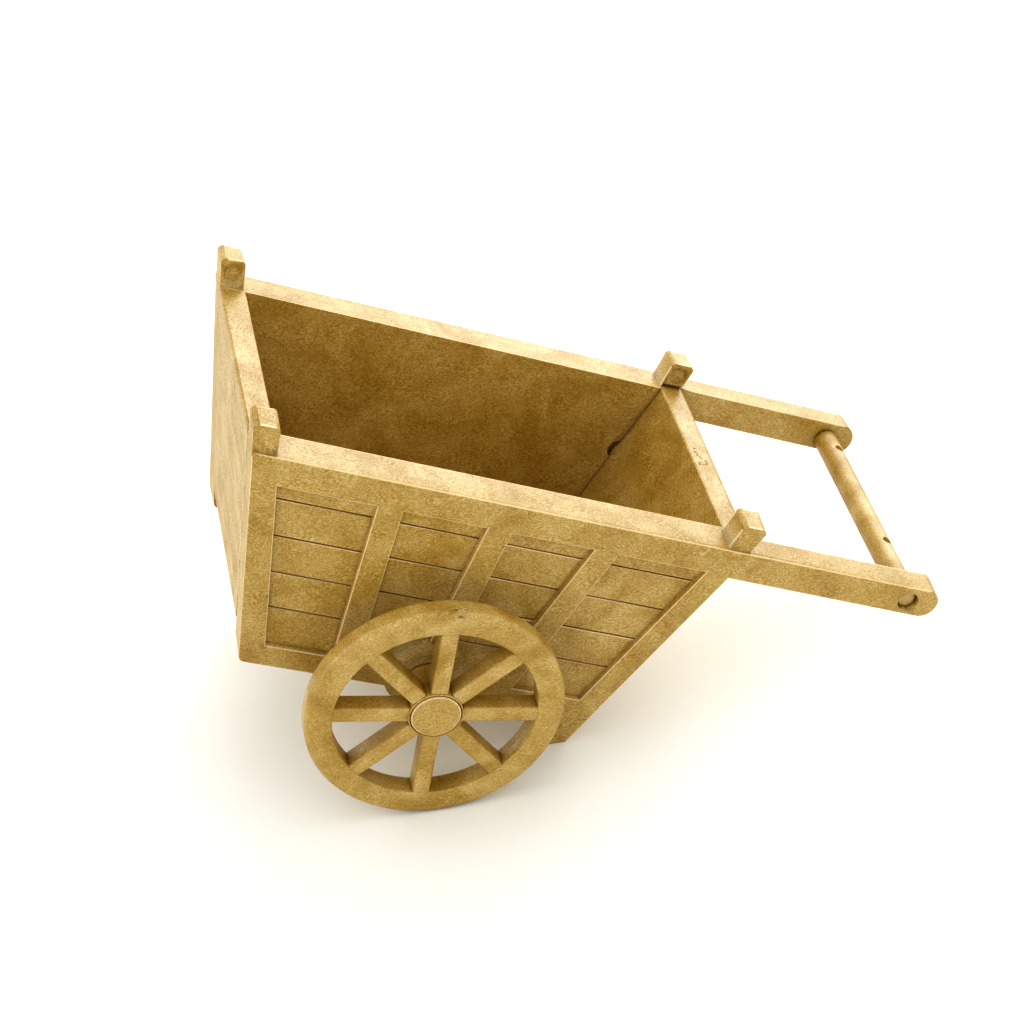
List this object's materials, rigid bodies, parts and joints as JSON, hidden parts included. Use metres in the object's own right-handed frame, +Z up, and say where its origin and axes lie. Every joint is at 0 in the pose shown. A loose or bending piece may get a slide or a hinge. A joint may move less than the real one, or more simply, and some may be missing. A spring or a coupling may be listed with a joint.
{
  "type": "two-wheeled hand cart",
  "caption": "Miniature moulded hand cart with flared planked sides, spoked wheels on headed pins, corner posts, feet, and two handles joined by a round grip bar.",
  "frame": {"origin": "on the ground under the middle of the cart's overall box, with the cart resting on its wheels and feet", "axes": "+Z up, +X along the ground from the front board towards the handles, +Y towards the right-hand side panel; the cart is pitched nose up by 24 degrees about Y"},
  "size_m": [0.114, 0.0672, 0.0756],
  "materials": {
    "side_panels": "satin, wood-look fibrous swirl",
    "end_boards": "satin, wood-look fibrous swirl",
    "floor": "satin, wood-look fibrous swirl",
    "wheels": "satin, wood-look fibrous swirl",
    "wheel_pins": "satin, wood-look fibrous swirl",
    "grip_bar": "satin, wood-look fibrous swirl"
  },
  "bodies": {
    "cart": {"left_side_panel": "side_panels", "right_side_panel": "side_panels", "front_board": "end_boards", "rear_board": "end_boards", "floor_board": "floor", "left_wheel_pin": "wheel_pins", "right_wheel_pin": "wheel_pins"},
    "left_wheel": {"left_wheel": "wheels"},
    "right_wheel": {"right_wheel": "wheels"},
    "grip_bar": {"grip_bar": "grip_bar"}
  },
  "joints": [
    {"name": "left_wheel_spin", "type": "hinge", "parent": "cart", "child": "left_wheel", "pos_m": [-0.0281, -0.03152, 0.0208], "axis": [0, 1, 0], "continuous": true},
    {"name": "right_wheel_spin", "type": "hinge", "parent": "cart", "child": "right_wheel", "pos_m": [-0.0281, 0.03152, 0.0208], "axis": [0, 1, 0], "continuous": true},
    {"name": "grip_spin", "type": "hinge", "parent": "cart", "child": "grip_bar", "pos_m": [0.05175, 0, 0.02165], "axis": [0, 1, 0], "continuous": true}
  ]
}
